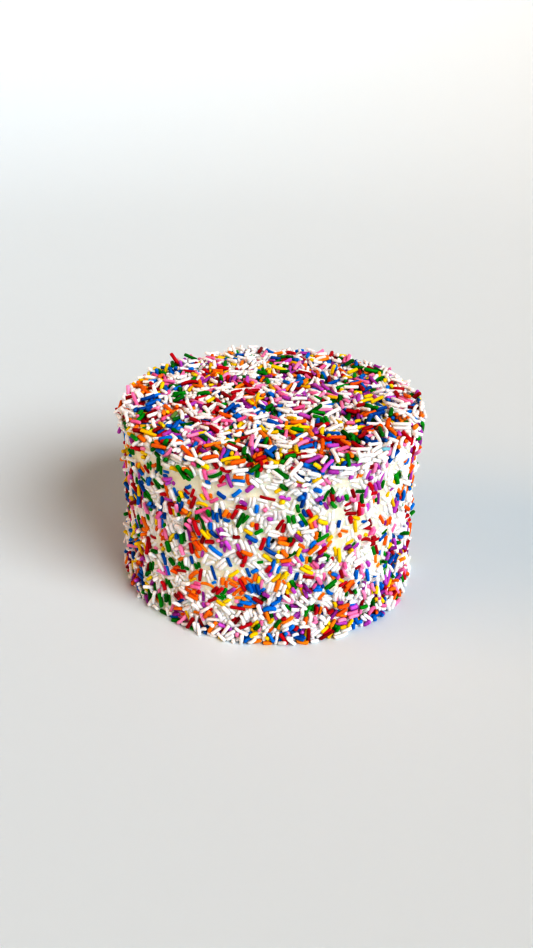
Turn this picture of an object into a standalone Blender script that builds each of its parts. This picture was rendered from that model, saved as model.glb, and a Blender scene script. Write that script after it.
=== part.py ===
"""A tall round birthday cake, iced in buttercream and coated all over in rod-shaped sugar sprinkles.

One food solid: the iced cake, turned from a profile and made slightly uneven as a hand-iced one is,
with sprinkles fused to its top, its rim, its side and round its foot. Metres, +Z up, and the origin is
at the middle of the flat base.
"""

import math
import random

import bmesh
import bpy
from mathutils import Matrix, Vector, noise
from mathutils.bvhtree import BVHTree

# Driving dimensions of the iced cake, a 6 inch sponge under buttercream
CAKE_RADIUS = 0.0744
CAKE_HEIGHT = 0.0957
TOP_DOME = 0.0008
RIM_ROUND = 0.0050
RIM_FLARE = 0.0016
FOOT_FLARE = 0.0018
WAIST_HEIGHT = 0.045
FOOT_CHAMFER = 0.0006

# How finely the turned body is cut
BODY_STEPS = 40
TOP_RINGS = 3
RIM_POINTS = 3
SIDE_ROWS = 9

# Unevenness of the hand-spread icing
LUMP_HEIGHT = 0.0009
LUMP_SPACING = 0.026
LUMP_SEED = Vector((3.1, 7.4, 1.9))

# Sprinkles: sugar rods with rounded ends
SPRINKLE_RADIUS = 0.00095
SPRINKLE_LENGTHS = (0.0064, 0.0088)
SPRINKLE_SIDES = 5
TIP_LENGTH = 0.0006
SPRINKLE_LIFT = 0.00032
SPRINKLE_TILT = math.radians(5)

TOP_SPRINKLES = 84
RIM_SPRINKLES = 26
SIDE_SPRINKLES = 114
FOOT_SPRINKLES = 26
TOP_REACH = 0.93
SIDE_SPAN = (0.0105, 0.0860)
RIM_ANGLES = (math.radians(20), math.radians(62))
FOOT_CLEARANCE = 0.0003
GOLDEN_ANGLE = math.pi * (3 - math.sqrt(5))
JITTER = 0.0012
RANDOM_SEED = 11

BUTTERCREAM = (0.91, 0.86, 0.74, 1.0)
BUTTERCREAM_ROUGHNESS = 0.55


def clear_scene():
    for obj in list(bpy.data.objects):
        bpy.data.objects.remove(obj, do_unlink=True)


def new_collection(name):
    collection = bpy.data.collections.new(name)
    bpy.context.scene.collection.children.link(collection)
    return collection


def buttercream():
    material = bpy.data.materials.new("buttercream")
    material.use_nodes = True
    shader = material.node_tree.nodes["Principled BSDF"]
    shader.inputs["Base Color"].default_value = BUTTERCREAM
    shader.inputs["Roughness"].default_value = BUTTERCREAM_ROUGHNESS
    shader.inputs["Metallic"].default_value = 0.0
    return material


def side_radius(height):
    """Radius of the icing at a height: narrowest at the waist, flaring to the rim and to the foot."""
    if height > WAIST_HEIGHT:
        share = (height - WAIST_HEIGHT) / (CAKE_HEIGHT - WAIST_HEIGHT)
        return CAKE_RADIUS + RIM_FLARE * share**2
    share = (WAIST_HEIGHT - height) / WAIST_HEIGHT
    return CAKE_RADIUS + FOOT_FLARE * share**3


def cake_profile():
    """Half outline of the cake, from the middle of its top, out and down the side, to the middle of its base."""
    shoulder = CAKE_HEIGHT - RIM_ROUND
    rim_centre = side_radius(shoulder) - RIM_ROUND
    points = []
    for ring in range(TOP_RINGS):
        radius = rim_centre * ring / TOP_RINGS
        dome = TOP_DOME * (1 - (radius / rim_centre) ** 2)
        points.append((radius, CAKE_HEIGHT + dome))
    for step in range(RIM_POINTS + 1):
        angle = math.radians(90) * (1 - step / RIM_POINTS)
        reach = RIM_ROUND * math.cos(angle)
        points.append((rim_centre + reach, shoulder + RIM_ROUND * math.sin(angle)))
    for row in range(1, SIDE_ROWS):
        height = shoulder * (1 - row / SIDE_ROWS)
        points.append((side_radius(height), height))
    points.append((side_radius(0), FOOT_CHAMFER * 2))
    points.append((side_radius(0) - FOOT_CHAMFER, 0.0))
    points.append((0.0, 0.0))
    return points


def turned_body(collection):
    """The profile turned with a Screw modifier, made a plain mesh so that its surface can be worked."""
    mesh = bpy.data.meshes.new("cake_profile")
    points = [Vector((radius, 0.0, height)) for radius, height in cake_profile()]
    mesh.from_pydata(points, [(i, i + 1) for i in range(len(points) - 1)], [])
    guide = bpy.data.objects.new("cake_profile", mesh)
    collection.objects.link(guide)
    screw = guide.modifiers.new("turn", "SCREW")
    screw.axis = "Z"
    screw.steps = BODY_STEPS
    screw.render_steps = BODY_STEPS
    screw.use_merge_vertices = True
    screw.merge_threshold = 0.00001
    graph = bpy.context.evaluated_depsgraph_get()
    body = bpy.data.objects.new("cake", bpy.data.meshes.new_from_object(guide.evaluated_get(graph)))
    collection.objects.link(body)
    bpy.data.objects.remove(guide, do_unlink=True)
    return body


def roughen(body):
    """Moves the icing in and out in soft lumps, and leaves the flat base alone."""
    work = bmesh.new()
    work.from_mesh(body.data)
    bmesh.ops.remove_doubles(work, verts=work.verts, dist=0.00001)
    bmesh.ops.recalc_face_normals(work, faces=work.faces)
    work.normal_update()
    moves = {}
    for vert in work.verts:
        hold = min(1.0, vert.co.z / (4 * RIM_ROUND))
        height = noise.noise(vert.co / LUMP_SPACING + LUMP_SEED) * LUMP_HEIGHT
        moves[vert] = vert.normal * height * hold
    for vert, move in moves.items():
        vert.co += move
    bmesh.ops.triangulate(work, faces=work.faces)
    work.to_mesh(body.data)
    work.free()


def sprinkle_mesh(length):
    """A five-sided rod with pointed-round ends: a coarse sphere whose two rings are drawn apart."""
    work = bmesh.new()
    bmesh.ops.create_uvsphere(work, u_segments=SPRINKLE_SIDES, v_segments=3, radius=1.0)
    half = length / 2
    for vert in work.verts:
        side = math.copysign(1.0, vert.co.z)
        flat = Vector((vert.co.x, vert.co.y, 0.0))
        if flat.length > 0.1:
            flat = flat.normalized() * SPRINKLE_RADIUS
            vert.co = flat + Vector((0.0, 0.0, side * (half - TIP_LENGTH)))
        else:
            vert.co = Vector((0.0, 0.0, side * half))
    mesh = bpy.data.meshes.new("sprinkle")
    work.to_mesh(mesh)
    work.free()
    return mesh


def lay_sprinkle(collection, point, normal, draw, along=None):
    """Lays one rod on the icing at a point, turned at random about the normal, or along a given way."""
    length = draw.uniform(*SPRINKLE_LENGTHS)
    spin = draw.uniform(0.0, math.tau)
    across = normal.orthogonal().normalized()
    across.rotate(Matrix.Rotation(spin, 3, normal))
    if along is not None:
        across = (along - normal * along.dot(normal)).normalized()
    tilt = draw.uniform(-SPRINKLE_TILT, SPRINKLE_TILT)
    axis = (across * math.cos(tilt) + normal * math.sin(tilt)).normalized()
    rod = bpy.data.objects.new("sprinkle", sprinkle_mesh(length))
    rod.rotation_mode = "QUATERNION"
    rod.rotation_quaternion = axis.to_track_quat("Z", "X")
    rod.location = point + normal * SPRINKLE_LIFT
    collection.objects.link(rod)
    return rod


def smooth_normal(point):
    """The way out of the cake at a point, as if its side, rim and top were perfectly even."""
    shoulder = CAKE_HEIGHT - RIM_ROUND
    flat = Vector((point.x, point.y, 0.0))
    rim_centre = side_radius(shoulder) - RIM_ROUND
    outward = flat.normalized() * max(0.0, flat.length - rim_centre)
    upward = Vector((0.0, 0.0, max(0.0, point.z - shoulder)))
    return (outward + upward).normalized()


def cast(tree, start, way):
    point = tree.ray_cast(start, way)[0]
    return point, smooth_normal(point)


def top_sprinkles(tree, collection, draw):
    """Spread over the top in a sunflower's spiral, which is even without lining up."""
    reach = CAKE_RADIUS * TOP_REACH
    for index in range(TOP_SPRINKLES):
        radius = reach * math.sqrt((index + 0.5) / TOP_SPRINKLES)
        angle = index * GOLDEN_ANGLE
        x = radius * math.cos(angle) + draw.uniform(-JITTER, JITTER)
        y = radius * math.sin(angle) + draw.uniform(-JITTER, JITTER)
        point = cast(tree, Vector((x, y, 2 * CAKE_HEIGHT)), Vector((0, 0, -1)))[0]
        lay_sprinkle(collection, point, Vector((0, 0, 1)), draw)


def rim_sprinkles(tree, collection, draw):
    """Along the rounded rim, some on its crown and some hanging over its outer edge."""
    shoulder = CAKE_HEIGHT - RIM_ROUND
    rim_centre = side_radius(shoulder) - RIM_ROUND
    for index in range(RIM_SPRINKLES):
        angle = math.tau * index / RIM_SPRINKLES + draw.uniform(-JITTER, JITTER) / CAKE_RADIUS
        slope = RIM_ANGLES[index % 2]
        outward = Vector((math.cos(angle), math.sin(angle), 0.0))
        way = outward * math.cos(slope) + Vector((0, 0, math.sin(slope)))
        inner = outward * rim_centre + Vector((0, 0, shoulder))
        point, normal = cast(tree, inner + way * 4 * RIM_ROUND, -way)
        lay_sprinkle(collection, point, normal, draw)


def side_sprinkles(tree, collection, draw):
    """Round the side by the golden angle, rising evenly from foot to shoulder."""
    low, high = SIDE_SPAN
    for index in range(SIDE_SPRINKLES):
        angle = index * GOLDEN_ANGLE
        height = low + (high - low) * (index + 0.5) / SIDE_SPRINKLES
        height += draw.uniform(-JITTER, JITTER)
        outward = Vector((math.cos(angle), math.sin(angle), 0.0))
        start = outward * 2 * CAKE_RADIUS + Vector((0, 0, height))
        point, normal = cast(tree, start, -outward)
        lay_sprinkle(collection, point, normal, draw)


def foot_sprinkles(tree, collection, draw):
    """Lying along the foot, just clear of what the cake stands on."""
    height = SPRINKLE_RADIUS * (1 + math.sin(SPRINKLE_TILT)) + TIP_LENGTH + FOOT_CLEARANCE
    for index in range(FOOT_SPRINKLES):
        angle = math.tau * (index + 0.5) / FOOT_SPRINKLES + draw.uniform(-JITTER, JITTER) / CAKE_RADIUS
        outward = Vector((math.cos(angle), math.sin(angle), 0.0))
        start = outward * 2 * CAKE_RADIUS + Vector((0, 0, height))
        point = cast(tree, start, -outward)[0]
        along = Vector((-outward.y, outward.x, 0.0))
        lay_sprinkle(collection, point, outward, draw, along)


def fuse(body, toppings):
    """One Boolean union of the body with every sprinkle, applied, after which the loose rods are removed."""
    union = body.modifiers.new("fuse", "BOOLEAN")
    union.operation = "UNION"
    union.operand_type = "COLLECTION"
    union.collection = toppings
    graph = bpy.context.evaluated_depsgraph_get()
    fused = bpy.data.meshes.new_from_object(body.evaluated_get(graph))
    body.modifiers.clear()
    body.data = fused
    for rod in list(toppings.objects):
        bpy.data.objects.remove(rod, do_unlink=True)
    bpy.data.collections.remove(toppings)


def centre_on_origin(body):
    """Sets the middle of the whole, sprinkles included, over the origin, with the base at height 0."""
    xs = [vert.co.x for vert in body.data.vertices]
    ys = [vert.co.y for vert in body.data.vertices]
    zs = [vert.co.z for vert in body.data.vertices]
    middle = Vector(((min(xs) + max(xs)) / 2, (min(ys) + max(ys)) / 2, min(zs)))
    body.data.transform(Matrix.Translation(-middle))


def main():
    clear_scene()
    cake = new_collection("sprinkle_cake")
    toppings = new_collection("sprinkles_to_fuse")
    body = turned_body(cake)
    roughen(body)
    tree = BVHTree.FromPolygons(
        [vert.co for vert in body.data.vertices],
        [tuple(face.vertices) for face in body.data.polygons],
    )
    draw = random.Random(RANDOM_SEED)
    top_sprinkles(tree, toppings, draw)
    rim_sprinkles(tree, toppings, draw)
    side_sprinkles(tree, toppings, draw)
    foot_sprinkles(tree, toppings, draw)
    fuse(body, toppings)
    centre_on_origin(body)
    body.data.materials.clear()
    body.data.materials.append(buttercream())
    print("triangles in the cake:", sum(len(face.vertices) - 2 for face in body.data.polygons))


main()
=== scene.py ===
# %% [markdown]
# # A round cake covered in rainbow sprinkles
#
# The real thing is a plain round cake under a coat of pale buttercream. Candy rods, about 5 mm long
# and just under 2 mm thick, are pressed into its side by hand and lie in a loose heap on its top. The
# solid model gives the size and the place of the cake. This lesson makes what the eye sees: soft icing
# and thousands of separate rods, each with a place, a length, a slight bend and a colour of its own.

import math

import bpy
import numpy as np
from mathutils import Matrix
from mathutils.kdtree import KDTree


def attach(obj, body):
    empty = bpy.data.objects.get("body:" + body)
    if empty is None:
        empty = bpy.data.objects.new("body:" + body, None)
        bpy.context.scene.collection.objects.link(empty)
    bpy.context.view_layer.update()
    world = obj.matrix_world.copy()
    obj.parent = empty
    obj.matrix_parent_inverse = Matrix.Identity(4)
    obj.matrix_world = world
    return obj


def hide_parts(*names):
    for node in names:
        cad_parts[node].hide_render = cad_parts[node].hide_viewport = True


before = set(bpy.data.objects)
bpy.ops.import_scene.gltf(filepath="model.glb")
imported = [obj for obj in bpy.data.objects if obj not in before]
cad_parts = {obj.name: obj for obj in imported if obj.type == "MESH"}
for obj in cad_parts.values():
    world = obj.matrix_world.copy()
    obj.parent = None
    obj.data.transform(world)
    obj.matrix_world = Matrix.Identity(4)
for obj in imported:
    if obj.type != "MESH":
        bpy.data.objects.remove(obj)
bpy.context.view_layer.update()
CAKE_NODE = "cake"
BODY = "root"
MM = 0.001

# %% [markdown]
# ## The camera
#
# A camera can be placed by eye, or worked out from the ellipses that the round cake and its top draw in
# a picture. Worked out is better, because the same lens and height then show every part at its true
# size. This one stands 0.4 m in front of the cake and 0.27 m up, looks down by 28 degrees, and is
# held a little crooked, as a hand holds a telephone.

# %% Set up the camera
PICTURE_HEIGHT = 948
FOCAL_PIXELS = 856
SENSOR_MM = 36.0
CAMERA_PLACE = (-0.0009, -0.4020, 0.2668)
LOOK_DOWN = math.radians(28.1)
LOOK_LEFT = math.radians(0.1)
CAMERA_ROLL = math.radians(0.92)
NEAREST_SEEN = 0.01


def make_camera():
    camera = bpy.data.objects.new("camera", bpy.data.cameras.new("camera"))
    bpy.context.scene.collection.objects.link(camera)
    camera.data.sensor_width = SENSOR_MM
    camera.data.lens = SENSOR_MM * FOCAL_PIXELS / PICTURE_HEIGHT
    turn = Matrix.Rotation(LOOK_LEFT, 4, "Z")
    tip = Matrix.Rotation(math.pi / 2 - LOOK_DOWN, 4, "X")
    roll = Matrix.Rotation(CAMERA_ROLL, 4, "Z")
    camera.matrix_world = Matrix.Translation(CAMERA_PLACE) @ turn @ tip @ roll
    camera.data.clip_start = NEAREST_SEEN
    bpy.context.scene.camera = camera
    return camera


print("lens, mm:", round(make_camera().data.lens, 2))

# %% [markdown]
# ## Turning a profile
#
# A round form is quickest to make from its outline: Blender's Screw modifier turns it once round the
# upright axis. The studio sweep below and the icing further on are both made so. The profile is
# given in millimetres, as a maker would measure it, and the mesh is in metres.

# %% A helper that turns a profile
MERGE_DISTANCE = 0.00001


def turned(name, profile, steps):
    outline = bpy.data.meshes.new(name + "_outline")
    edges = [(index, index + 1) for index in range(len(profile) - 1)]
    outline.from_pydata([(x * MM, 0.0, z * MM) for x, z in profile], edges, [])
    form = bpy.data.objects.new(name, outline)
    bpy.context.scene.collection.objects.link(form)
    screw = form.modifiers.new("turn", "SCREW")
    screw.steps = screw.render_steps = steps
    screw.use_merge_vertices = True
    screw.merge_threshold = MERGE_DISTANCE
    depsgraph = bpy.context.evaluated_depsgraph_get()
    mesh = bpy.data.meshes.new_from_object(form.evaluated_get(depsgraph))
    form.modifiers.clear()
    form.data = mesh
    bpy.data.meshes.remove(outline)
    mesh.shade_smooth()
    return form


def arc(centre_x, centre_z, radius, first, last, count):
    """Points of an arc in a profile, its angles in degrees from straight out."""
    turns = [math.radians(first + (last - first) * step / (count - 1)) for step in range(count)]
    return [(centre_x + radius * math.cos(turn), centre_z + radius * math.sin(turn)) for turn in turns]


print("an arc's first point:", arc(0, 0, 1, 90, 0, 5)[0])

# %% [markdown]
# ## The floor and the light
#
# Candy colours look right under soft light. A broad sun from the front on the right stands for a window.
# A second sun, weaker, lower and warm, comes from the left and keeps the shaded side from going grey, and
# the world adds a little from everywhere. The floor is a pale sweep that curves up far behind and
# around the cake, so that no horizon shows. The Standard view keeps the colours as bright as they are
# mixed, and its Very High Contrast look deepens the gaps between the rods.

# %% Lay the floor and hang the lamps
FLAT_RADIUS = 900
SWEEP_CURVE = 3200
SWEEP_DEGREES = 60
SWEEP_POINTS = 24
SWEEP_STEPS = 96
FLOOR_COLOUR = (0.72, 0.80, 0.84, 1.0)
FLOOR_ROUGHNESS = 0.7
WORLD_COLOUR = (1.0, 0.91, 0.87, 1.0)
WORLD_STRENGTH = 0.18
SUN_TURN = math.radians(46)
SUN_HEIGHT = math.radians(34)
SUN_STRENGTH = 2.17
SUN_BREADTH = math.radians(36)
SUN_COLOUR = (0.97, 0.98, 1.0)
FILL_TURN = math.radians(-76)
FILL_HEIGHT = math.radians(18)
FILL_STRENGTH = 1.6
FILL_BREADTH = math.radians(50)
FILL_COLOUR = (1.0, 0.50, 0.15)


def plain_material(name, colour, roughness):
    material = bpy.data.materials.new(name)
    material.use_nodes = True
    shader = material.node_tree.nodes["Principled BSDF"]
    shader.inputs["Base Color"].default_value = colour
    shader.inputs["Roughness"].default_value = roughness
    return material


def lay_floor():
    curve = arc(FLAT_RADIUS, SWEEP_CURVE, SWEEP_CURVE, SWEEP_DEGREES - 90, -90, SWEEP_POINTS)
    floor = turned("floor", [*curve, (0, 0)], SWEEP_STEPS)
    floor.data.materials.append(plain_material("floor", FLOOR_COLOUR, FLOOR_ROUGHNESS))


def hang_sun(name, turn, height, strength, breadth, colour):
    """A broad sun at an angle from the front, towards the right, and a height above the floor."""
    sun = bpy.data.objects.new(name, bpy.data.lights.new(name, "SUN"))
    bpy.context.scene.collection.objects.link(sun)
    sun.data.energy = strength
    sun.data.angle = breadth
    sun.data.color = colour
    sun.location = (math.sin(turn), -math.cos(turn), math.tan(height))
    sun.rotation_mode = "QUATERNION"
    sun.rotation_quaternion = sun.location.to_track_quat("Z", "Y")
    return sun


def light_world():
    world = bpy.data.worlds.new("studio")
    world.use_nodes = True
    background = world.node_tree.nodes["Background"]
    background.inputs["Color"].default_value = WORLD_COLOUR
    background.inputs["Strength"].default_value = WORLD_STRENGTH
    bpy.context.scene.world = world


def set_view():
    bpy.context.scene.view_settings.view_transform = "Standard"
    bpy.context.scene.view_settings.look = "Very High Contrast"


lay_floor()
light_world()
set_view()
window = hang_sun("window", SUN_TURN, SUN_HEIGHT, SUN_STRENGTH, SUN_BREADTH, SUN_COLOUR)
fill = hang_sun("warm_fill", FILL_TURN, FILL_HEIGHT, FILL_STRENGTH, FILL_BREADTH, FILL_COLOUR)
print("lamps:", [(lamp.name, lamp.data.energy) for lamp in (window, fill)])

# %% [markdown]
# ## The form of the icing
#
# The coat is a drum, a little wider at its rim, with a rounded edge and slow lumps from the palette knife.
# It could be a mesh first, with the rods laid on its faces. Here it is a rule instead: a function that
# says how far any point is from the icing, and which way is out. Each rod asks it hundreds of times
# while the rods settle, and the mesh is made from the same rule later, so the two always agree. From
# here on the numbers are millimetres.

# %% Describe the icing
ICING_WAIST = 73.5
WAIST_HEIGHT = 45.0
RIM_FLARE = 1.7
FOOT_FLARE = 0.3
ICING_TOP = 94.2
TOP_DOME = 0.8
RIM_ROUND = 3.2
LUMP_DEPTH = 0.45
LUMP_TURNS = (2, 3, 5, 8, 11)
LUMP_LENGTH = 31.0
LUMP_DRIFT = 1.4
LUMP_SLANT = 6
TOP_LUMPS = 0.5
CAKE_LEAN = 1.7 / 97.0
NEARLY_NONE = 1e-6
SAFE_DIVISOR = 1e-9

shape_draw = np.random.default_rng(5)
lump_phase = shape_draw.uniform(0, math.tau, (len(LUMP_TURNS), 3))


def upright(points):
    """Points as they would be if the cake didn't lean a little to the right."""
    straight = points.copy()
    straight[:, 0] -= CAKE_LEAN * (points[:, 2] - ICING_TOP / 2)
    return straight


def lumps(angle, height):
    """Slow waves of the palette knife, in and out of the side."""
    wave = 0.0
    for turns, (first, second, third) in zip(LUMP_TURNS, lump_phase):
        drift = np.sin(height / LUMP_LENGTH * (1 + turns / LUMP_SLANT) + second)
        around = np.sin(turns * angle + first + LUMP_DRIFT * drift)
        wave = wave + around * np.cos(height / LUMP_LENGTH + third)
    return LUMP_DEPTH * wave / math.sqrt(len(LUMP_TURNS) / 2)


def side_radius(height):
    above = np.clip((height - WAIST_HEIGHT) / (ICING_TOP - WAIST_HEIGHT), 0, 1)
    below = np.clip((WAIST_HEIGHT - height) / WAIST_HEIGHT, 0, 1)
    return ICING_WAIST + RIM_FLARE * above**2 + FOOT_FLARE * below**3


def top_height(x, y):
    reach = np.hypot(x, y) / ICING_WAIST
    swell = TOP_DOME * (1 - np.clip(reach, 0, 1) ** 2)
    return ICING_TOP - TOP_DOME + swell + TOP_LUMPS * lumps(np.arctan2(y, x), reach * ICING_WAIST)


def icing_gap(points):
    """How far each point is outside the icing, less than nothing inside it, and the way straight out."""
    x, y, z = upright(points).T
    reach = np.maximum(np.hypot(x, y), NEARLY_NONE)
    out = reach - (side_radius(z) + lumps(np.arctan2(y, x), z) - RIM_ROUND)
    rise = z - (top_height(x, y) - RIM_ROUND)
    corner = np.hypot(np.maximum(out, 0), np.maximum(rise, 0))
    gap = corner + np.minimum(np.maximum(out, rise), 0) - RIM_ROUND
    safe = np.maximum(corner, SAFE_DIVISOR)
    radial = np.where(corner > NEARLY_NONE, np.maximum(out, 0) / safe, out > rise)
    upward = np.where(corner > NEARLY_NONE, np.maximum(rise, 0) / safe, out <= rise)
    way = np.stack([x / reach * radial, y / reach * radial, upward], 1)
    return gap, way


shown_heights = np.array([0.0, WAIST_HEIGHT, ICING_TOP])
print("icing radius at foot, waist and rim, mm:", side_radius(shown_heights).round(1))

# %% [markdown]
# ## Draw the rods
#
# Sprinkles are cut from long soft strands, so most are alike and some are stubs or overlong. Each gets a
# length and a thickness from one seeded draw, so every run makes the same cake.

# %% Cut the rods to length
ROD_RADIUS = 0.97
RADIUS_SPREAD = 0.06
RADIUS_LIMITS = (0.82, 1.12)
CORE_INSET = 1.5
ROD_LENGTH = 5.7
LENGTH_SPREAD = 1.0
STUBS = (2.4, 4.4)
LONG_ONES = (7.0, 9.0)
STUB_SHARE = 0.22
LONG_SHARE = 0.11
ZONE_LENGTH = {"top": 1.05, "rim": 1.0, "side": 0.88, "foot": 0.95}
ZONES = {"top": 2650, "rim": 140, "side": 4250, "foot": 420}

draw = np.random.default_rng(23)
zone = np.repeat(list(ZONES), list(ZONES.values()))
count = len(zone)


def cut_lengths():
    pick = draw.random(count)
    lengths = draw.normal(ROD_LENGTH, LENGTH_SPREAD, count).clip(STUBS[0], LONG_ONES[1])
    lengths = np.where(pick < STUB_SHARE, draw.uniform(*STUBS, count), lengths)
    lengths = np.where(pick > 1 - LONG_SHARE, draw.uniform(*LONG_ONES, count), lengths)
    return lengths * np.array([ZONE_LENGTH[name] for name in zone])


length = cut_lengths()
radius = draw.normal(ROD_RADIUS, RADIUS_SPREAD, count).clip(*RADIUS_LIMITS)
core = length - CORE_INSET * radius
print("rods:", count, "mean length, mm:", round(float(length.mean()), 2))

# %% [markdown]
# ## Where the rods go
#
# The heap on top is even. The side isn't: rods come more thickly towards the foot, where loose ones were
# scooped up and pressed on, and thinly just below the rim, where bare icing shows. A share of places
# between 0 and 1 says how likely each spot is to hold a rod, and places drawn at random are kept
# or dropped by it. Loose rods lie all round the foot and come thickest in a low pile at the front on
# the right.

# %% Choose places on the side and at the foot
BARE_BAND_HEIGHT = 86.0
BARE_BAND_HALF = 6.0
BARE_SIDE = math.radians(-25)
FOOT_BAND = 30.0
LOOSE_SIDE = math.radians(40)
LOOSE_WIDTH = math.radians(38)
SIDE_SHARE = 0.64
FOOT_EXTRA = 0.26
BAND_LOSS = 0.38
BAND_ALL_ROUND = 0.6
BAND_ONE_SIDE = 0.4
PATCH_STRENGTH = 0.09
PATCH_TURNS = (9, 7, 3, 13)
PATCH_RISES = (9, 11, 7, 8)
PATCH_BEND = 2
LOOSE_ALL_ROUND = 0.18
LOOSE_AT_BACK = 0.12
LOOSE_IN_PILE = 0.67
patch_phase = shape_draw.uniform(0, math.tau, 6)


def patches(angle, height):
    """A slow pattern between -1 and 1 with spots about 25 mm across."""
    one, two, three, four, five, six = patch_phase
    turns, rises = PATCH_TURNS, PATCH_RISES
    slant = np.sin(turns[0] * angle + height / rises[0] + one)
    other_slant = np.sin(turns[1] * angle - height / rises[1] + two)
    ripple = np.sin(height / rises[2] + PATCH_BEND * np.sin(turns[2] * angle + three) + four)
    speckle = np.sin(turns[3] * angle + five) * np.sin(height / rises[3] + six)
    return (slant + other_slant + ripple + speckle) / 4


def side_share(angle, height):
    level = np.exp(-(((height - BARE_BAND_HEIGHT) / BARE_BAND_HALF) ** 2))
    band = level * (BAND_ALL_ROUND + BAND_ONE_SIDE * np.cos(angle - BARE_SIDE))
    foot = np.exp(-((height / FOOT_BAND) ** 2))
    return SIDE_SHARE + FOOT_EXTRA * foot - BAND_LOSS * band + PATCH_STRENGTH * patches(angle, height)


def loose_pile(angle):
    """How much of a pile of loose rods lies at the foot: 1 in its middle, 0 far from it."""
    away = (angle - LOOSE_SIDE + math.pi) % math.tau - math.pi
    return np.exp(-((away / LOOSE_WIDTH) ** 2))


def foot_share(angle, _):
    return LOOSE_ALL_ROUND + LOOSE_AT_BACK * (1 - np.cos(angle)) + LOOSE_IN_PILE * loose_pile(angle)


def kept_places(share, low, high, number):
    angles, heights = np.empty(0), np.empty(0)
    while len(angles) < number:
        tried_angle = draw.uniform(-math.pi, math.pi, number)
        tried_height = draw.uniform(low, high, number)
        keep = draw.random(number) < share(tried_angle, tried_height)
        angles = np.append(angles, tried_angle[keep])
        heights = np.append(heights, tried_height[keep])
    return angles[:number], heights[:number]


shown_heights = np.array([5.0, 45.0, 84.0])
print("share of places used at 5, 45 and 84 mm:", side_share(np.zeros(3), shown_heights).round(2))

# %% [markdown]
# ### Which way they point
#
# A rod on the side lies along the icing. More than half of them keep near to upright, as a hand that
# strokes upwards leaves them, and the others lean any way. A rod of the heap may point anywhere. Each
# zone gives the first places of its rods' middles and the directions in which they point. The
# settling that follows does the rest.

# %% Scatter the rods
TOP_OVERHANG = 0.6
HEAP_GAP = 1.0
HEAP_DEPTH = 11.0
HEAP_PITCH = 0.22
RIM_TILT = (0.1, 1.1)
RIM_GAP = 2.5
RIM_LIFT = 0.15
SIDE_LOW = 1.5
SIDE_BELOW_TOP = 3.0
SIDE_GAP = (1.0, 5.5)
STEEP_SHARE = 0.55
STEEP_LEAN = 0.7
ANY_LEAN = 1.57
SIDE_LIFT = 0.32
LOOSE_HEIGHTS = (1.0, 5.0)
SPILL_SHAPE = 1.8
SPILL_SCALE = 0.6
SPILL_LEAST = 0.7
SPILL_IN_PILE = 1.6
LOOSE_GAP = 0.8
LOOSE_LEAN = (1.3, 0.8)
LOOSE_LIFT = 0.45


def out_from(angle):
    return np.stack([np.sin(angle), -np.cos(angle), np.zeros(len(angle))], 1)


def along_icing(angle, tilt, lean, lift):
    """Directions along icing that faces out and up by the tilt, leaned from the steepest way and lifted."""
    out, up = out_from(angle), np.tile([0.0, 0.0, 1.0], (len(angle), 1))
    around = np.cross(up, out)
    steep = up * np.cos(tilt)[:, None] - out * np.sin(tilt)[:, None]
    face = out * np.cos(tilt)[:, None] + up * np.sin(tilt)[:, None]
    along = steep * np.cos(lean)[:, None] + around * np.sin(lean)[:, None]
    return along * np.cos(lift)[:, None] + face * np.sin(lift)[:, None]


def scatter_top(number):
    angle = draw.uniform(-math.pi, math.pi, number)
    reach = (side_radius(ICING_TOP) + TOP_OVERHANG) * np.sqrt(draw.random(number))
    middle = out_from(angle) * reach[:, None]
    middle[:, 2] = ICING_TOP + HEAP_GAP + draw.uniform(0.0, HEAP_DEPTH, number)
    turn = draw.uniform(0, math.tau, number)
    pitch = draw.normal(0, HEAP_PITCH, number)
    level = np.cos(pitch)
    return middle, np.stack([level * np.cos(turn), level * np.sin(turn), np.sin(pitch)], 1)


def scatter_rim(number):
    angle = draw.uniform(-math.pi, math.pi, number)
    tilt = draw.uniform(*RIM_TILT, number)
    reach = side_radius(ICING_TOP) - RIM_ROUND + (RIM_ROUND + RIM_GAP) * np.cos(tilt)
    middle = out_from(angle) * reach[:, None]
    middle[:, 2] = ICING_TOP - RIM_ROUND + (RIM_ROUND + RIM_GAP) * np.sin(tilt)
    lean = draw.uniform(-math.pi / 2, math.pi / 2, number)
    lift = draw.normal(0, RIM_LIFT, number)
    return middle, along_icing(angle, tilt, lean, lift)


def scatter_side(number):
    angle, height = kept_places(side_share, SIDE_LOW, ICING_TOP - SIDE_BELOW_TOP, number)
    middle = out_from(angle) * (side_radius(height) + draw.uniform(*SIDE_GAP, number))[:, None]
    middle[:, 2] = height
    is_steep = draw.random(number) < STEEP_SHARE
    steep_lean = draw.normal(0, STEEP_LEAN, number)
    lean = np.where(is_steep, steep_lean, draw.uniform(-ANY_LEAN, ANY_LEAN, number))
    lift = draw.normal(0, SIDE_LIFT, number)
    return middle, along_icing(angle, np.zeros(number), lean, lift)


def scatter_foot(number):
    angle, height = kept_places(foot_share, *LOOSE_HEIGHTS, number)
    spill = draw.gamma(SPILL_SHAPE, SPILL_SCALE, number) * (SPILL_LEAST + SPILL_IN_PILE * loose_pile(angle))
    middle = out_from(angle) * (side_radius(height) + LOOSE_GAP + spill)[:, None]
    middle[:, 2] = height
    lean = draw.normal(*LOOSE_LEAN, number)
    lift = draw.normal(0, LOOSE_LIFT, number)
    return middle, along_icing(angle, np.zeros(number), lean, lift)


def scatter_all():
    makers = {"top": scatter_top, "rim": scatter_rim, "side": scatter_side, "foot": scatter_foot}
    places, ways = zip(*(makers[name](number) for name, number in ZONES.items()))
    middle, way = np.concatenate(places), np.concatenate(ways)
    middle[:, 0] += CAKE_LEAN * (middle[:, 2] - ICING_TOP / 2)
    half = way * core[:, None] / 2
    return middle - half, middle + half


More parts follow.
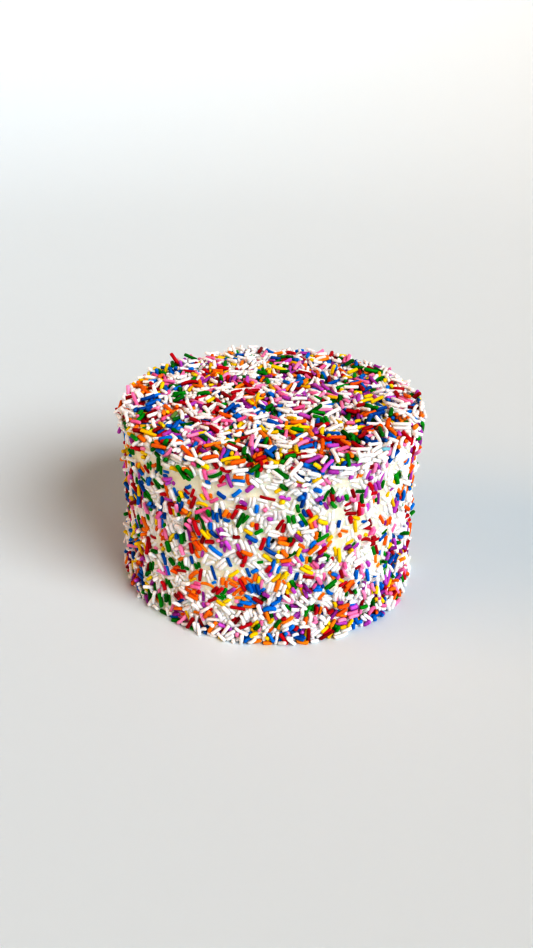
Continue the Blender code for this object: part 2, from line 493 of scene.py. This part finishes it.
start, end = scatter_all()
print("rods scattered:", {name: int((zone == name).sum()) for name in ZONES})

# %% [markdown]
# ### Rods that catch the eye
#
# Among thousands a few stand out: a long purple one that hangs off the left of the rim, a tuft of blue, red
# ones that cross in the heap, and two short near-black rods, one of them painted shade: a dark hole
# between white rods, made as a rod. A pure draw would lose them, so they are listed one by one, a little
# outside the rest, and settle with them. Those that are lifted off the icing aren't pulled.

# %% Place the rods that stand out
SIDE_FINDS = (
    # colour, length, angle from the front, height, lean from upright, lift, how far out
    ("green", 7.5, -33, 92, -2, 0, 6),
    ("orange", 5.0, -31, 94, 0, 0, 6),
    ("green", 7.0, -29, 90, -35, 0, 6),
    ("blue", 6.3, -9, 93, 88, 0, 6),
    ("pink", 5.4, -23, 90, 0, 0, 6),
    ("pink", 5.0, -22, 90, 70, 0, 7),
    ("green", 7.5, -24, 61, -3, 0, 6),
    ("green", 6.5, -30, 61, 21, 0, 6),
    ("orange", 7.0, -25, 50, -12, 0, 6),
    ("blue", 8.0, -20, 36, -35, 0, 6),
    ("blue", 8.2, 13, 79, 8, 0, 6),
    ("blue", 5.2, 11, 81, 12, 0, 6),
    ("blue", 4.2, 16, 84, 62, 0, 7),
    ("blue", 5.2, 17, 77, -28, 0, 6),
    ("red", 4.6, 15, 72, 0, 0, 6),
    ("purple", 7.0, 40, 87, -33, 0, 6),
    ("purple", 6.0, 42, 80, 13, 0, 7),
    ("green", 6.5, 66, 37, 0, 0, 6),
    ("green", 6.5, 82, 35, 88, 30, 2.4),
    ("blue", 6.0, 80, 41, 75, 25, 2.4),
    ("red", 8.0, -84, 89, 8, -10, 2.0),
    ("purple", 8.6, -87, 80, 8, -25, 3.0),
    # The two dark rods are near-black, and one of them is painted shade: a dark hole between white rods,
    # made as a rod.
    ("dark", 2.4, 2, 56, 60, 0, 6),
    ("dark", 2.6, -4, 19, 60, 0, 6),
)
TOP_FINDS = (
    # colour, length, place on the top, turn
    ("red", 7.5, -17, 1, 48),
    ("red", 7.8, -13, 0, -50),
    ("red", 7.0, -11, 3, 25),
    ("red", 5.0, -19, -4, 85),
    ("orange", 7.5, -28, -69, 8),
    ("orange", 7.0, -15, -73, 14),
    ("orange", 8.0, -39, -62, -25),
    ("pink", 5.8, -75, 6, 175),
    ("white", 6.4, -74, -10, 20),
    ("sage", 7.0, -48, -26, 68),
    ("green", 8.0, -45, -28, 91),
    ("pale blue", 5.0, 52, -55, 60),
)
TOP_FINDS_RISE = 13.0
# Radius of the two thin near-black rods, one of which is painted shade between white rods.
DARK_ROD_RADIUS = 0.6
found_colour, held = {}, np.zeros(count, bool)


def place_find(index, name, size, place, way):
    radius[index] = DARK_ROD_RADIUS if name == "dark" else radius[index]
    length[index], core[index] = size, size - CORE_INSET * radius[index]
    place[0] += CAKE_LEAN * (place[2] - ICING_TOP / 2)
    start[index], end[index] = place - way * core[index] / 2, place + way * core[index] / 2
    found_colour[index] = name


def place_finds():
    first_side, first_top = np.flatnonzero(zone == "side")[0], np.flatnonzero(zone == "top")[0]
    for step, (name, size, angle, height, lean, lift, out) in enumerate(SIDE_FINDS):
        angle, lean, lift = (np.array([math.radians(value)]) for value in (angle, lean, lift))
        place = out_from(angle)[0] * (side_radius(height) + out) + (0, 0, height)
        way = along_icing(angle, np.zeros(1), lean, lift)[0]
        place_find(first_side + step, name, size, place, way)
        held[first_side + step] = lift[0] != 0
    for step, (name, size, x, y, turn) in enumerate(TOP_FINDS):
        way = np.array([math.cos(math.radians(turn)), math.sin(math.radians(turn)), 0.0])
        place_find(first_top + step, name, size, np.array([x, y, ICING_TOP + TOP_FINDS_RISE]), way)


place_finds()
print("rods placed by hand:", len(found_colour))

# %% [markdown]
# ## Let the rods settle
#
# Rods dropped at random run through each other. Blender's rigid bodies could shake them apart, but over
# seven thousand are slow, and the icing is soft and sticky, which rigid bodies aren't. So this lesson
# settles them with a few lines of its own. Every rod is a straight core between two end points. A
# round pulls both ends a little towards the icing, pushes overlapping rods apart where their cores
# come closest, pushes rods out of the icing and the floor, and gives each core its length again.

# %% Find which rods are near each other
ROUNDS = 130
QUIET_ROUNDS = 25
LOOK_AGAIN = 6
NEAR_MARGIN = 1.3
SEARCH_MARGIN = 1.6


def rowwise_dot(one, other):
    return np.einsum("ij,ij->i", one, other)


def closest_shares(start1, end1, start2, end2):
    """How far along two straight cores, from 0 to 1, their nearest points lie."""
    run1, run2, between = end1 - start1, end2 - start2, start1 - start2
    a, e, b = rowwise_dot(run1, run1), rowwise_dot(run2, run2), rowwise_dot(run1, run2)
    c, f = rowwise_dot(run1, between), rowwise_dot(run2, between)
    spread = a * e - b * b
    skew = spread > NEARLY_NONE * a * e
    first = np.where(skew, (b * f - c * e) / np.maximum(spread, SAFE_DIVISOR), 0.5).clip(0, 1)
    second = ((b * first + f) / e).clip(0, 1)
    first = ((b * second - c) / a).clip(0, 1)
    return first, second


def near_pairs():
    """Pairs of rods whose cores are nearly close enough to touch."""
    middle = (start + end) / 2
    tree = KDTree(count)
    for index, point in enumerate(middle):
        tree.insert(point, index)
    tree.balance()
    one, other = [], []
    for index, point in enumerate(middle):
        for _, found, _ in tree.find_range(point, ROD_LENGTH + SEARCH_MARGIN):
            if found > index:
                one.append(index)
                other.append(found)
    one, other = np.array(one), np.array(other)
    first, second = closest_shares(start[one], end[one], start[other], end[other])
    apart = point_on(one, first) - point_on(other, second)
    close = np.linalg.norm(apart, axis=1) < radius[one] + radius[other] + NEAR_MARGIN
    return one[close], other[close]


def point_on(rods, share):
    return start[rods] + (end[rods] - start[rods]) * share[:, None]


one, other = near_pairs()
print("pairs near each other at first:", len(one))

# %% [markdown]
# ### One round of settling
#
# Each push is stored first and then shared out, because a rod may touch ten others and would jump if it
# took every push in full. How deep a rod may lie in the icing is its own: a third of those on the side
# were pressed in by nearly half their thickness, the others there less, and all the rest less again. The
# last rounds only push, which lets the overlaps die down.

# %% Settle the heap
PULL = 0.16
FOOT_DROP = 0.05
EDGE_PULL = 0.04
EDGE_DROOP = 0.35
SUNKEN_SHARE = 0.34
STICK_OUT_SHARE = {"top": 0.03, "rim": 0.03, "side": 0.14, "foot": 0.10}
CORE_POINTS = (0.0, 0.5, 1.0)
SIDE_REST = (0.1, 0.8)
OTHER_REST = (0.3, 1.0)
SUNKEN_REST = (0.0, 0.15)
FREE_END_PULL = 0.15
EDGE_INSET = 0.5
CALM_POWER = 0.6

sunken = (zone == "side") & (draw.random(count) < SUNKEN_SHARE)
rest_gap = np.where(zone == "side", draw.uniform(*SIDE_REST, count), draw.uniform(*OTHER_REST, count))
rest_gap = np.where(sunken, draw.uniform(*SUNKEN_REST, count), rest_gap)
sticks_out = draw.random(count) < np.array([STICK_OUT_SHARE[name] for name in zone])


def pull_ends():
    """Both ends go towards the icing, and a rod that sticks out is held by one of them.

    In the heap that way is straight down, and past its edge down and a little inwards."""
    heap, foot = zone == "top", zone == "foot"
    for is_far_end, points in enumerate((start, end)):
        gap, way = icing_gap(points)
        step = np.where(held, 0, np.minimum(PULL, np.maximum(gap - rest_gap, 0)))
        if is_far_end:
            step = np.where(sticks_out, FREE_END_PULL * step, step)
        reach = np.linalg.norm(upright(points)[:, :2], axis=1)
        over_edge = heap & (reach > side_radius(ICING_TOP) - EDGE_INSET)
        points[~heap] -= (way * step[:, None])[~heap]
        points[heap & ~over_edge, 2] -= step[heap & ~over_edge]
        points[over_edge, :2] *= (1 - EDGE_PULL / reach[over_edge])[:, None]
        points[over_edge, 2] -= EDGE_DROOP * step[over_edge]
        points[foot, 2] -= FOOT_DROP


def push_rods_apart():
    push_start, push_end = np.zeros((count, 3)), np.zeros((count, 3))
    touches = np.zeros(count)
    first, second = closest_shares(start[one], end[one], start[other], end[other])
    apart = point_on(one, first) - point_on(other, second)
    distance = np.maximum(np.linalg.norm(apart, axis=1), NEARLY_NONE)
    overlap = radius[one] + radius[other] - distance
    hit = overlap > 0
    push = apart[hit] / distance[hit, None] * overlap[hit, None] / 2
    for rods, share, sign in ((one[hit], first[hit], 1), (other[hit], second[hit], -1)):
        lever = (1 - share) ** 2 + share**2
        np.add.at(push_start, rods, sign * push * ((1 - share) / lever)[:, None])
        np.add.at(push_end, rods, sign * push * (share / lever)[:, None])
        np.add.at(touches, rods, 1)
    calm = 1.0 / np.maximum(touches, 1) ** CALM_POWER
    start[:] += push_start * calm[:, None]
    end[:] += push_end * calm[:, None]
    return overlap[hit]


def push_out_of_icing():
    for share in CORE_POINTS:
        points = start + (end - start) * share
        gap, way = icing_gap(points)
        push = way * np.maximum(rest_gap - gap, 0)[:, None]
        lever = (1 - share) ** 2 + share**2
        start[:] += push * (1 - share) / lever
        end[:] += push * share / lever
    start[:, 2] = np.maximum(start[:, 2], radius)
    end[:, 2] = np.maximum(end[:, 2], radius)


def restore_length():
    run = end - start
    now = np.linalg.norm(run, axis=1)
    change = run * ((core - now) / now / 2)[:, None]
    start[:] -= change
    end[:] += change


for turn in range(ROUNDS + QUIET_ROUNDS):
    if turn % LOOK_AGAIN == 0:
        one, other = near_pairs()
    if turn < ROUNDS:
        pull_ends()
    overlaps = push_rods_apart()
    push_out_of_icing()
    restore_length()
print("overlaps left, mm, at 50% and at 95% of them:", np.percentile(overlaps, (50, 95)).round(3))
print("heap top, mm:", round(float(np.maximum(start, end)[:, 2].max() + ROD_RADIUS), 1))

# %% [markdown]
# ## Which rod has which colour
#
# In this mix nearly half of the rods are white and the other colours come in like numbers. Picked one by
# one at random they look too even, because real ones cling and fall in little groups. So some rods
# take the colour of the rod beside them. Rods that lie half sunk are white more often, some soft
# patches of the side hold more white and one holds less. On top the back and the outermost lip are
# whiter than the rest, and the ring just inside the lip is more colourful.

# %% Pick a colour for every rod
COLOUR_SHARES = {
    "red": 0.155, "orange": 0.150, "yellow": 0.110, "green": 0.128,
    "blue": 0.160, "purple": 0.125, "pink": 0.140,
}
WHITE_SHARE = {"top": 0.47, "rim": 0.55, "side": 0.27, "foot": 0.42}
SUNKEN_WHITE = 0.32
COPY_SHARE = 0.17
COLOURFUL_EDGE = 63.0
EDGE_WHITE_DROP = 0.10
PALE_LIP = 70.0
LIP_WHITE = 0.28
BACK_WHITE = 0.16
PALE_PATCHES = (
    # angle from the front, height, half width along the side, half height, added share of white
    (3.0, 86.0, 26.0, 9.0, 0.42),
    (0.0, 68.0, 12.0, 11.0, 0.36),
    (62.0, 52.0, 50.0, 50.0, 0.20),
    (-48.0, 60.0, 22.0, 26.0, 0.18),
    (-27.0, 14.0, 42.0, 8.0, 0.36),
    (64.0, 42.0, 12.0, 15.0, 0.30),
    (-25.0, 78.0, 11.0, 12.0, -0.24),
)

middle = (start + end) / 2
angle_from_front = np.degrees(np.arctan2(middle[:, 0], -middle[:, 1]))


def white_share():
    share = np.array([WHITE_SHARE[name] for name in zone]) + SUNKEN_WHITE * sunken
    reach, top = np.hypot(middle[:, 0], middle[:, 1]), zone == "top"
    edge, lip = top & (reach > COLOURFUL_EDGE), top & (reach > PALE_LIP)
    share = share - np.where(edge, EDGE_WHITE_DROP, 0) + np.where(lip, LIP_WHITE, 0)
    share = share + np.where(top, BACK_WHITE * middle[:, 1] / ICING_WAIST, 0)
    for angle, height, half_width, half_height, added in PALE_PATCHES:
        across = (angle_from_front - angle) * math.radians(1) * ICING_WAIST / half_width
        up = (middle[:, 2] - height) / half_height
        share = share + np.where(zone == "side", added * np.exp(-(across**2) - up**2), 0)
    return share


def pick_colours():
    names = list(COLOUR_SHARES)
    weights = np.array(list(COLOUR_SHARES.values()))
    colours = draw.choice(names, count, p=weights / weights.sum()).astype("<U12")
    colours = np.where(draw.random(count) < white_share(), "white", colours)
    beside = np.full(count, -1)
    distance = np.linalg.norm(middle[one] - middle[other], axis=1)
    for pair in np.argsort(-distance):
        beside[one[pair]] = other[pair]
        beside[other[pair]] = one[pair]
    copies = np.flatnonzero((draw.random(count) < COPY_SHARE) & (beside >= 0))
    colours[copies] = colours[beside[copies]]
    for index, name in found_colour.items():
        colours[index] = name
    return colours


colour = pick_colours()
print("colours:", {name: int((colour == name).sum()) for name in ("white", *COLOUR_SHARES)})

# %% [markdown]
# ## The mesh of the rods
#
# One rod could be a primitive, copied thousands of times as an instance. Instances are light, but every one
# would be the same straight rod. Here all the rods of a colour are one mesh, worked out at once
# with arrays: rings of eight points along each core, a blunt and slightly slanted tip at either end
# where the strand was cut, a bow for the bend, and a slight change of thickness from ring to ring.

# %% Turn cores into meshes
RING_SIDES = 8
TIP_RINGS = ((0.09, 0.62), (0.42, 0.97))
BODY_RING = 1 / 3
RING_COUNT = 2 * len(TIP_RINGS) + 2
BOW = 0.045
STRONG_BOW_SHARE = 0.22
STRONG_BOW = 0.15
STRONG_BOW_RANGE = (0.4, 1.0)
BOW_OUTWARD = 0.5
CUT_SLANT = 0.28
THICKNESS_SPREAD = 0.03
TIP_MARK = 1.0
TIP_RING_MARK = 0.6

run = end - start
way_along = run / np.linalg.norm(run, axis=1)[:, None]
slight_bow = np.abs(draw.normal(0, BOW, count)) * length
is_strong = draw.random(count) < STRONG_BOW_SHARE
strong_bow = draw.uniform(*STRONG_BOW_RANGE, count) * STRONG_BOW * length
bow = np.where(is_strong, strong_bow, slight_bow)
bow_turn = draw.uniform(0, math.tau, count)
cut_turn = draw.uniform(0, math.tau, (count, 2))
cut_slant = draw.uniform(0, CUT_SLANT, (count, 2))
thickness = draw.normal(1.0, THICKNESS_SPREAD, (count, RING_COUNT))
shade = draw.random(count)
icing_side = icing_gap(middle)[1]


def across_rod(rods):
    """Two directions square to each rod, the second one lying along the icing."""
    second = np.cross(way_along[rods], icing_side[rods])
    second /= np.maximum(np.linalg.norm(second, axis=1), NEARLY_NONE)[:, None]
    return np.cross(second, way_along[rods]), second


def rod_points(rods):
    """The points of these rods: a tip, the rings from one end to the other, and the other tip.

    The bow is a parabola that is level on average, and a bowed rod stays above the floor."""
    half, wide = length[rods] / 2, radius[rods]
    first, second = across_rod(rods)
    centre, along = middle[rods], way_along[rods]
    tips = [(-half + inset * wide, share) for inset, share in TIP_RINGS]
    mirrored = [(-at, share) for at, share in reversed(tips)]
    stations = [*tips, (-half * BODY_RING, 1.0), (half * BODY_RING, 1.0), *mirrored]
    turn = np.arange(RING_SIDES) * math.tau / RING_SIDES
    bow_out = first * np.cos(bow_turn[rods])[:, None] * BOW_OUTWARD
    bow_way = bow_out + second * np.sin(bow_turn[rods])[:, None]
    rings = []
    for number, (at, share) in enumerate(stations):
        ring_radius = wide * share * thickness[rods, number]
        far_end = int(number >= len(stations) / 2)
        is_tip = share < 1.0
        slant = cut_slant[rods, far_end] * is_tip
        lean = slant[:, None] * ring_radius[:, None] * np.cos(turn - cut_turn[rods, far_end][:, None])
        sag = bow[rods] * (1 / 3 - (at / half) ** 2)
        ring = centre[:, None] + bow_way[:, None] * sag[:, None, None]
        ring = ring + along[:, None] * (at[:, None] + lean)[:, :, None]
        ring = ring + first[:, None] * (ring_radius[:, None] * np.cos(turn))[:, :, None]
        ring = ring + second[:, None] * (ring_radius[:, None] * np.sin(turn))[:, :, None]
        rings.append(ring)
    end_sag = bow_way * (bow[rods] * 2 / 3)[:, None]
    ends = [centre + along * (sign * half)[:, None] - end_sag for sign in (-1, 1)]
    points = np.concatenate([ends[0][:, None], *rings, ends[1][:, None]], axis=1)
    points[:, :, 2] = np.maximum(points[:, :, 2], 0)
    return points


def rod_faces(ring_count):
    """The faces of one rod, as places in its list of points."""
    last = 1 + ring_count * RING_SIDES
    faces = []
    for side in range(RING_SIDES):
        after = (side + 1) % RING_SIDES
        faces.append((0, 1 + after, 1 + side))
        for ring in range(ring_count - 1):
            low, high = 1 + ring * RING_SIDES, 1 + (ring + 1) * RING_SIDES
            faces.append((low + side, low + after, high + after, high + side))
        faces.append((last, last - RING_SIDES + side, last - RING_SIDES + after))
    return faces


def rod_mesh(name, rods):
    points = rod_points(rods)
    each = points.shape[1]
    pattern = rod_faces((each - 2) // RING_SIDES)
    firsts = range(0, len(rods) * each, each)
    faces = [tuple(index + first for index in face) for first in firsts for face in pattern]
    mesh = bpy.data.meshes.new(name)
    mesh.from_pydata((points.reshape(-1, 3) * MM).tolist(), [], faces)
    mesh.shade_smooth()
    own_shade = mesh.attributes.new("shade", "FLOAT", "POINT")
    own_shade.data.foreach_set("value", np.repeat(shade[rods], each).astype(np.float32))
    tip = np.zeros((len(rods), each), np.float32)
    tip[:, [0, -1]] = TIP_MARK
    tip[:, 1:1 + RING_SIDES] = TIP_RING_MARK
    tip[:, -1 - RING_SIDES:-1] = TIP_RING_MARK
    mesh.attributes.new("tip", "FLOAT", "POINT").data.foreach_set("value", tip.ravel())
    return mesh


one_rod = rod_points(np.array([0]))
print("points and faces of one rod:", one_rod.shape[1], len(rod_faces(RING_COUNT)))

# %% [markdown]
# ## The mesh of the icing
#
# The drum starts as a profile turned by a Screw modifier, with rows close enough to carry the small
# forms. Every point then moves straight out or in until the rule of the icing says it is on the
# surface. Soft icing also climbs a little up everything pressed into it, so the points near a sunken
# rod rise by up to about half a millimetre. That joins the rods to the icing, where otherwise they
# would look glued on.

# %% Turn the icing and fit it round the rods
ICING_STEPS = 620
SIDE_ROW = 0.80
TOP_ROW = 5.0
RIM_POINTS = 8
CLIMB = 0.54
CLIMB_REACH = 1.25
FULL_CLIMB_WITHIN = 0.6
CLIMB_FADE_HEIGHT = 2.0
PRESSED_IN_BELOW = 1.1
CORE_SAMPLES = 5
FOOT_LEVEL = 0.01


def icing_profile():
    """The icing's outline as radius and height, from the middle of the top to the middle of the foot."""
    rim_reach = float(side_radius(ICING_TOP)) - RIM_ROUND
    rim_height = ICING_TOP - RIM_ROUND
    top = [(reach, ICING_TOP) for reach in np.arange(0.0, rim_reach, TOP_ROW)]
    heights = np.linspace(rim_height, 0.0, int(rim_height / SIDE_ROW))[1:]
    side = [(float(side_radius(height)), height) for height in heights]
    return [*top, *arc(rim_reach, rim_height, RIM_ROUND, 90, 0, RIM_POINTS), *side, (0.0, 0.0)]


def climb_at(points):
    """How far the icing rises at each point, by its distance from the nearest rod that is pressed in."""
    pressed = np.flatnonzero(icing_gap(middle)[0] < PRESSED_IN_BELOW)
    shares = np.linspace(0, 1, CORE_SAMPLES)
    cores = np.concatenate([start[pressed] + run[pressed] * share for share in shares])
    tree = KDTree(len(cores))
    for index, point in enumerate(cores):
        tree.insert(point, index)
    tree.balance()
    distance = np.array([tree.find(point)[2] for point in points])
    return CLIMB * np.exp(-((np.maximum(distance - FULL_CLIMB_WITHIN, 0) / CLIMB_REACH) ** 2))


def make_icing():
    icing = turned("icing", icing_profile(), ICING_STEPS)
    points = np.empty(len(icing.data.vertices) * 3)
    icing.data.vertices.foreach_get("co", points)
    points = points.reshape(-1, 3) / MM
    gap, way = icing_gap(points)
    skin = points[:, 2] > FOOT_LEVEL
    points[skin] -= (way * gap[:, None])[skin]
    fade = (points[:, 2] / CLIMB_FADE_HEIGHT).clip(0, 1)
    climb = climb_at(points) * skin * fade
    points += way * climb[:, None]
    icing.data.vertices.foreach_set("co", (points * MM).ravel())
    icing.data.update()
    return icing


icing = make_icing()
print("icing faces:", len(icing.data.polygons))

# %% [markdown]
# ## The finish of the candy
#
# Sprinkles are pressed sugar with a thin glaze: a strong plain colour that varies a little from rod to
# rod, a soft gleam, a fine grain and paler cut ends. All the colours share that finish, so it is one
# node group with its own values in each material. The group mixes the colours and makes the
# roughness and the grain, while the shader, with its gloss and depth, stays in the material.

# %% Build the shared candy finish
CANDY_COLOURS = ("Deep Colour", "Bright Colour", "Cut Colour")
COLOUR_SOCKETS = (6, 7)
COLOUR_RESULT = 2
GRAIN_SCALE = 5200.0
GRAIN_DETAIL = 2.0
MOTTLE_SCALE = 900.0
MOTTLE_RANGE = (0.35, 0.75)
MOTTLE_BRIGHTENING = 0.35
CUT_RANGE = (0.3, 1.0)
CUT_PALING = 0.45
GLAZE_RANGE = (0.3, 0.7)
GLAZE_ROUGHNESS = (0.34, 0.56)


def new_socket(tree, name, kind, way):
    tree.interface.new_socket(name=name, in_out=way, socket_type=kind)


def mix_colours(tree, factor, first, second):
    """A mix of two colours. The node has sockets of every kind, and those for colours go by number."""
    mix = tree.nodes.new("ShaderNodeMix")
    mix.data_type = "RGBA"
    sockets = [mix.inputs["Factor"], *(mix.inputs[number] for number in COLOUR_SOCKETS)]
    for socket, source in zip(sockets, (factor, first, second)):
        if isinstance(source, bpy.types.NodeSocket):
            tree.links.new(source, socket)
        else:
            socket.default_value = source
    return mix.outputs[COLOUR_RESULT]


def noise_at(tree, scale, detail=3.0):
    place = tree.nodes.new("ShaderNodeTexCoord")
    noise = tree.nodes.new("ShaderNodeTexNoise")
    noise.inputs["Scale"].default_value = scale
    noise.inputs["Detail"].default_value = detail
    tree.links.new(place.outputs["Object"], noise.inputs["Vector"])
    return noise.outputs["Fac"]


def spread(tree, source, low, high, from_low=0.0, from_high=1.0):
    span = tree.nodes.new("ShaderNodeMapRange")
    tree.links.new(source, span.inputs["Value"])
    limits = {"From Min": from_low, "From Max": from_high, "To Min": low, "To Max": high}
    for name, value in limits.items():
        span.inputs[name].default_value = value
    return span.outputs["Result"]


def bump_from(tree, height, strength, distance):
    bump = tree.nodes.new("ShaderNodeBump")
    bump.inputs["Strength"].default_value = strength
    bump.inputs["Distance"].default_value = distance
    tree.links.new(height, bump.inputs["Height"])
    return bump


def attribute(tree, name):
    node = tree.nodes.new("ShaderNodeAttribute")
    node.attribute_name = name
    return node.outputs["Fac"]


def build_candy_group():
    tree = bpy.data.node_groups.new("candy finish", "ShaderNodeTree")
    for name in CANDY_COLOURS:
        new_socket(tree, name, "NodeSocketColor", "INPUT")
    new_socket(tree, "Colour", "NodeSocketColor", "OUTPUT")
    new_socket(tree, "Roughness", "NodeSocketFloat", "OUTPUT")
    new_socket(tree, "Height", "NodeSocketFloat", "OUTPUT")
    given = tree.nodes.new("NodeGroupInput")
    result = tree.nodes.new("NodeGroupOutput")
    deep, bright, cut = (given.outputs[name] for name in CANDY_COLOURS)
    own = mix_colours(tree, attribute(tree, "shade"), deep, bright)
    mottle = noise_at(tree, MOTTLE_SCALE)
    mottled = mix_colours(tree, spread(tree, mottle, 0.0, MOTTLE_BRIGHTENING, *MOTTLE_RANGE), own, bright)
    ends = spread(tree, attribute(tree, "tip"), 0.0, CUT_PALING, *CUT_RANGE)
    tree.links.new(mix_colours(tree, ends, mottled, cut), result.inputs["Colour"])
    roughness = spread(tree, mottle, *GLAZE_ROUGHNESS, *GLAZE_RANGE)
    tree.links.new(roughness, result.inputs["Roughness"])
    tree.links.new(noise_at(tree, GRAIN_SCALE, GRAIN_DETAIL), result.inputs["Height"])
    return tree


candy_group = build_candy_group()
group_sockets = candy_group.interface.items_tree
print("candy group outputs:", [socket.name for socket in group_sockets if socket.in_out == "OUTPUT"])

# %% [markdown]
# ### One material for each colour
#
# Each colour is given as the deep and the bright end of what one batch of rods shows, in linear light.
# Yellow keeps clear of olive: its deep end loses green before it loses red. Sugar lets a little light
# in, so the shader scatters some of it just under the surface, more in the white rods.

# %% Mix the candy colours
CANDY = {
    # deep, bright and cut-end colour
    "white": ((0.83, 0.825, 0.825), (0.92, 0.92, 0.93), (0.94, 0.94, 0.95)),
    "red": ((0.20, 0.001, 0.005), (0.60, 0.008, 0.030), (0.64, 0.04, 0.06)),
    "orange": ((0.74, 0.102, 0.003), (0.93, 0.33, 0.020), (0.98, 0.36, 0.05)),
    "yellow": ((0.78, 0.47, 0.001), (0.90, 0.71, 0.006), (0.92, 0.77, 0.06)),
    "green": ((0.001, 0.090, 0.004), (0.002, 0.36, 0.018), (0.02, 0.44, 0.05)),
    "blue": ((0.001, 0.060, 0.28), (0.002, 0.27, 0.80), (0.03, 0.35, 0.86)),
    "purple": ((0.21, 0.014, 0.22), (0.66, 0.145, 0.70), (0.70, 0.21, 0.73)),
    "pink": ((0.74, 0.115, 0.33), (0.94, 0.37, 0.60), (0.95, 0.45, 0.66)),
    "sage": ((0.15, 0.28, 0.08), (0.24, 0.40, 0.12), (0.30, 0.45, 0.18)),
    "pale blue": ((0.20, 0.50, 0.62), (0.35, 0.66, 0.76), (0.45, 0.70, 0.80)),
    # near-black, for the two short dark rods, one of which is painted shade: a dark hole between white rods
    "dark": ((0.004, 0.004, 0.006), (0.010, 0.010, 0.014), (0.010, 0.010, 0.014)),
}
CANDY_DEPTH = 0.0012
CANDY_SCATTER = {"white": 0.50}
OTHER_SCATTER = 0.05
CANDY_SCATTER_RADIUS = (1.0, 0.8, 0.7)
CANDY_SPECULAR = 0.18
GRAIN_STRENGTH = 0.6
GRAIN_HEIGHT = 0.00003


def candy_material(name):
    material = bpy.data.materials.new("candy " + name)
    material.use_nodes = True
    tree = material.node_tree
    shader = tree.nodes["Principled BSDF"]
    finish = tree.nodes.new("ShaderNodeGroup")
    finish.node_tree = candy_group
    for socket, colour_given in zip(CANDY_COLOURS, CANDY[name]):
        finish.inputs[socket].default_value = (*colour_given, 1.0)
    grain = bump_from(tree, finish.outputs["Height"], GRAIN_STRENGTH, GRAIN_HEIGHT)
    tree.links.new(finish.outputs["Colour"], shader.inputs["Base Color"])
    tree.links.new(finish.outputs["Roughness"], shader.inputs["Roughness"])
    tree.links.new(grain.outputs["Normal"], shader.inputs["Normal"])
    shader.inputs["Subsurface Weight"].default_value = CANDY_SCATTER.get(name, OTHER_SCATTER)
    shader.inputs["Subsurface Radius"].default_value = CANDY_SCATTER_RADIUS
    shader.inputs["Subsurface Scale"].default_value = CANDY_DEPTH
    shader.inputs["Specular IOR Level"].default_value = CANDY_SPECULAR
    return material


candy = {name: candy_material(name) for name in CANDY}
print("candy materials:", len(candy))

# %% [markdown]
# ## The finish of the buttercream
#
# Whipped butter and sugar is a warm off-white that glows in its hollows, because light goes deep into
# it. It is satin, not wet, with a faint grain of sugar, and butter shows a little yellower in some
# places. Strong scattering with a warm radius gives the glow. Two sizes of noise drive its bump.

# %% Mix the buttercream
ICING_PALE = (0.91, 0.875, 0.74, 1.0)
ICING_BUTTERY = (0.89, 0.81, 0.59, 1.0)
ICING_DEPTH = 0.0045
ICING_SCATTER = 0.7
ICING_SCATTER_RADIUS = (1.0, 0.75, 0.5)
ICING_ROUGHNESS = (0.38, 0.60)
BUTTER_SCALE = 60.0
BUTTER_RANGE = (0.35, 0.7)
WHIP_SCALE = 420.0
WHIP_DETAIL = 4.0
WHIP_STRENGTH = 0.7
WHIP_HEIGHT = 0.0005
SUGAR_SCALE = 2600.0
SUGAR_STRENGTH = 0.35
SUGAR_HEIGHT = 0.0001


def buttercream():
    material = bpy.data.materials.new("buttercream")
    material.use_nodes = True
    tree = material.node_tree
    shader = tree.nodes["Principled BSDF"]
    butter_spots = spread(tree, noise_at(tree, BUTTER_SCALE), 0.0, 1.0, *BUTTER_RANGE)
    tree.links.new(mix_colours(tree, butter_spots, ICING_PALE, ICING_BUTTERY), shader.inputs["Base Color"])
    whip = noise_at(tree, WHIP_SCALE, WHIP_DETAIL)
    tree.links.new(spread(tree, whip, *ICING_ROUGHNESS), shader.inputs["Roughness"])
    fine = bump_from(tree, noise_at(tree, SUGAR_SCALE), SUGAR_STRENGTH, SUGAR_HEIGHT)
    broad = bump_from(tree, whip, WHIP_STRENGTH, WHIP_HEIGHT)
    tree.links.new(fine.outputs["Normal"], broad.inputs["Normal"])
    tree.links.new(broad.outputs["Normal"], shader.inputs["Normal"])
    shader.inputs["Subsurface Weight"].default_value = ICING_SCATTER
    shader.inputs["Subsurface Radius"].default_value = ICING_SCATTER_RADIUS
    shader.inputs["Subsurface Scale"].default_value = ICING_DEPTH
    return material


icing.data.materials.append(buttercream())
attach(icing, BODY)
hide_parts(CAKE_NODE)
print("icing finished")

# %% [markdown]
# ## Put the rods in the scene
#
# Every colour becomes one piece. White has the most rods, so it is three pieces, for the heap on top, the
# side and the foot, which keeps each mesh light enough to edit. All of them ride on the cake.

# %% Make one piece of every colour
TOP_PIECE_ABOVE = 88.0
FOOT_PIECE_BELOW = 20.0
ODD_SLOTS = {"sage": "green", "pale blue": "blue", "dark": "blue"}


def pieces_of_colour():
    """The name, the colour and the rods of every piece."""
    white = colour == "white"
    high, low = middle[:, 2] > TOP_PIECE_ABOVE, middle[:, 2] < FOOT_PIECE_BELOW
    yield "sprinkles_white_top", "white", np.flatnonzero(white & high)
    yield "sprinkles_white_side", "white", np.flatnonzero(white & ~high & ~low)
    yield "sprinkles_white_foot", "white", np.flatnonzero(white & low)
    for name in (*COLOUR_SHARES, *ODD_SLOTS):
        yield "sprinkles_" + name.replace(" ", "_"), name, np.flatnonzero(colour == name)


for piece_name, colour_name, rods in pieces_of_colour():
    piece = bpy.data.objects.new(piece_name, rod_mesh(piece_name, rods))
    bpy.context.scene.collection.objects.link(piece)
    piece.data.materials.append(candy[colour_name])
    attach(piece, BODY)
    triangles = sum(len(face.vertices) - 2 for face in piece.data.polygons)
    print(piece_name, "rods:", len(rods), "triangles:", triangles)
